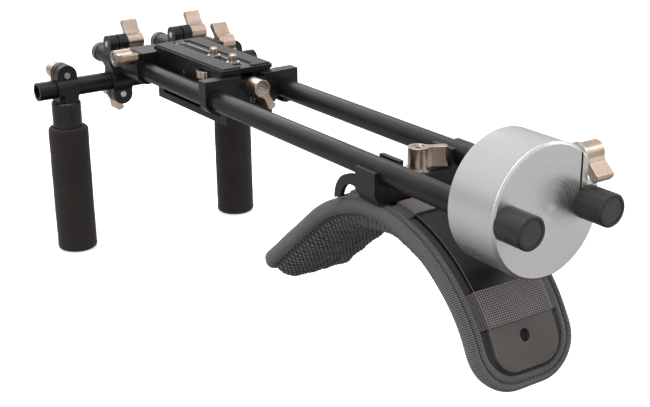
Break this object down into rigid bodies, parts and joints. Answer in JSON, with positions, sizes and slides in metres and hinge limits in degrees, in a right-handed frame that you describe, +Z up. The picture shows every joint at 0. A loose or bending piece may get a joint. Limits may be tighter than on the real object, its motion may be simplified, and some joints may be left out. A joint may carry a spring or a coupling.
{
  "type": "shoulder camera rig",
  "caption": "Shoulder rig for a camera: twin rods carrying a counterweight, an arched pad, a sliding camera plate and a cross rod with upright foam handles.",
  "frame": {"origin": "midway between the two camera screws, on the top face of the camera plate's rubber strips", "axes": "+Z up out of the camera plate, along the camera screws; +Y forward along the rods, towards the handles; +X to the operator's right"},
  "size_m": [0.205, 0.5456, 0.1977],
  "materials": {
    "black_anodised": "satin black anodised",
    "black_paint": "satin black",
    "bronze_anodised": "champagne bronze anodised, satin",
    "bright_steel": "brushed",
    "dark_screw": "black oxide",
    "cap_plastic": "satin black",
    "cap_grey": "satin grey",
    "disc_plastic": "dark grey, slight gloss",
    "plate_alloy": "satin graphite anodised",
    "strip_rubber": "matt",
    "shell_plastic": "satin dark grey-brown",
    "pad_fabric": "spacer mesh over foam",
    "binding_tape": "ribbed tape",
    "webbing": "woven webbing",
    "grip_foam": "closed-cell foam"
  },
  "bodies": {
    "rods": {"rod_rear_left": "black_anodised", "rod_rear_right": "black_anodised", "rod_front_left": "black_anodised", "rod_front_right": "black_anodised", "rear_caps": "cap_plastic", "rear_cap_discs": "disc_plastic", "front_caps": "cap_grey"},
    "weight": {"counterweight": "bright_steel", "weight_washer": "bright_steel"},
    "weight_lock": {"weight_screw": "bright_steel", "weight_lever": "bronze_anodised"},
    "saddle": {"saddle_bracket": "black_paint", "saddle_shell": "shell_plastic", "saddle_washer": "bright_steel", "pad_cushion": "pad_fabric", "pad_binding": "binding_tape", "pad_upper_straps": "webbing", "pad_lower_straps": "webbing"},
    "saddle_lock": {"saddle_screw": "bright_steel", "saddle_lever": "bronze_anodised"},
    "base": {"base_block": "black_paint", "base_bracket_rear": "black_paint", "base_bracket_front": "black_paint", "base_screws": "dark_screw"},
    "base_rear_lock": {"base_rear_screw": "bright_steel", "base_rear_lever": "bronze_anodised"},
    "base_left_lock": {"base_left_screw": "bright_steel", "base_left_lever": "bronze_anodised"},
    "base_right_lock": {"base_right_screw": "bright_steel", "base_right_lever": "bronze_anodised"},
    "plate_lock": {"plate_lock_screw": "bright_steel", "plate_lock_knob": "bronze_anodised"},
    "plate": {"camera_plate": "plate_alloy", "plate_strips": "strip_rubber"},
    "front_screw": {"camera_screw_front": "bronze_anodised", "camera_washer_front": "bright_steel"},
    "rear_screw": {"camera_screw_rear": "bronze_anodised", "camera_washer_rear": "bright_steel"},
    "cross_clamps": {"cross_clamp_left": "black_paint", "cross_clamp_right": "black_paint"},
    "cross_left_top_lock": {"cross_left_top_screw": "bright_steel", "cross_left_top_lever": "bronze_anodised"},
    "cross_left_low_lock": {"cross_left_low_screw": "bright_steel", "cross_left_low_lever": "bronze_anodised"},
    "cross_right_top_lock": {"cross_right_top_screw": "bright_steel", "cross_right_top_lever": "bronze_anodised"},
    "cross_right_low_lock": {"cross_right_low_screw": "bright_steel", "cross_right_low_lever": "bronze_anodised"},
    "cross_bar": {"cross_rod": "black_anodised"},
    "left_handle": {"handle_left_clamp": "black_paint", "handle_left_stem": "black_paint", "handle_left_grip": "grip_foam"},
    "left_handle_lock": {"handle_left_screw": "bright_steel", "handle_left_lever": "bronze_anodised"},
    "right_handle": {"handle_right_clamp": "black_paint", "handle_right_stem": "black_paint", "handle_right_grip": "grip_foam"},
    "right_handle_lock": {"handle_right_screw": "bright_steel", "handle_right_lever": "bronze_anodised"}
  },
  "joints": [
    {"name": "weight_slide", "type": "slide", "parent": "rods", "child": "weight", "axis": [0, 1, 0], "range_m": [0, 0.004]},
    {"name": "weight_lever_turn", "type": "hinge", "parent": "weight", "child": "weight_lock", "pos_m": [0.03, -0.3465, 0.0044], "axis": [1, 0, 0], "range_deg": [-135, 0]},
    {"name": "saddle_slide", "type": "slide", "parent": "rods", "child": "saddle", "axis": [0, 1, 0], "range_m": [-0.003, 0.06]},
    {"name": "saddle_lever_turn", "type": "hinge", "parent": "saddle", "child": "saddle_lock", "pos_m": [0, -0.2405, -0.0208], "axis": [0, 0, 1], "range_deg": [-120, 120]},
    {"name": "baseplate_slide", "type": "slide", "parent": "rods", "child": "base", "axis": [0, 1, 0], "range_m": [-0.045, 0.006]},
    {"name": "base_rear_lever_turn", "type": "hinge", "parent": "base", "child": "base_rear_lock", "pos_m": [0, -0.0475, -0.0133], "axis": [0, 1, 0], "range_deg": [-70, 90]},
    {"name": "base_left_lever_turn", "type": "hinge", "parent": "base", "child": "base_left_lock", "pos_m": [-0.047, 0.0808, -0.009], "axis": [1, 0, 0], "range_deg": [-90, 90]},
    {"name": "base_right_lever_turn", "type": "hinge", "parent": "base", "child": "base_right_lock", "pos_m": [0.047, 0.0808, -0.009], "axis": [1, 0, 0], "range_deg": [-90, 90]},
    {"name": "plate_lock_turn", "type": "hinge", "parent": "base", "child": "plate_lock", "pos_m": [-0.0186, -0.0051, -0.0108], "axis": [0, 0, 1], "range_deg": [-90, 90]},
    {"name": "camera_plate_slide", "type": "slide", "parent": "base", "child": "plate", "axis": [0, 1, 0], "range_m": [-0.014, 0.02]},
    {"name": "front_camera_screw_slide", "type": "slide", "parent": "plate", "child": "front_screw", "axis": [0, 1, 0], "range_m": [-0.008, 0.05]},
    {"name": "rear_camera_screw_slide", "type": "slide", "parent": "plate", "child": "rear_screw", "axis": [0, 1, 0], "range_m": [-0.006, 0.008]},
    {"name": "cross_clamp_slide", "type": "slide", "parent": "rods", "child": "cross_clamps", "axis": [0, 1, 0], "range_m": [-0.004, 0.012]},
    {"name": "cross_left_top_lever_turn", "type": "hinge", "parent": "cross_clamps", "child": "cross_left_top_lock", "pos_m": [-0.014, 0.1275, -0.0075], "axis": [1, 0, 0], "range_deg": [-90, 90]},
    {"name": "cross_left_low_lever_turn", "type": "hinge", "parent": "cross_clamps", "child": "cross_left_low_lock", "pos_m": [-0.03, 0.1375, -0.0498], "axis": [0, 1, 0], "range_deg": [-90, 90]},
    {"name": "cross_right_top_lever_turn", "type": "hinge", "parent": "cross_clamps", "child": "cross_right_top_lock", "pos_m": [0.046, 0.1275, -0.0075], "axis": [1, 0, 0], "range_deg": [-90, 90]},
    {"name": "cross_right_low_lever_turn", "type": "hinge", "parent": "cross_clamps", "child": "cross_right_low_lock", "pos_m": [0.03, 0.1375, -0.0498], "axis": [0, 1, 0], "range_deg": [-90, 90]},
    {"name": "cross_rod_slide", "type": "slide", "parent": "cross_clamps", "child": "cross_bar", "axis": [1, 0, 0], "range_m": [-0.006, 0.006]},
    {"name": "left_handle_swing", "type": "hinge", "parent": "cross_bar", "child": "left_handle", "pos_m": [-0.0785, 0.1275, -0.0386], "axis": [1, 0, 0], "range_deg": [-60, 60]},
    {"name": "left_handle_lever_turn", "type": "hinge", "parent": "left_handle", "child": "left_handle_lock", "pos_m": [-0.0785, 0.1375, -0.027], "axis": [0, 1, 0], "range_deg": [-90, 90]},
    {"name": "right_handle_swing", "type": "hinge", "parent": "cross_bar", "child": "right_handle", "pos_m": [0.0785, 0.1275, -0.0386], "axis": [1, 0, 0], "range_deg": [-60, 60]},
    {"name": "right_handle_lever_turn", "type": "hinge", "parent": "right_handle", "child": "right_handle_lock", "pos_m": [0.0785, 0.1375, -0.027], "axis": [0, 1, 0], "range_deg": [-90, 90]}
  ]
}
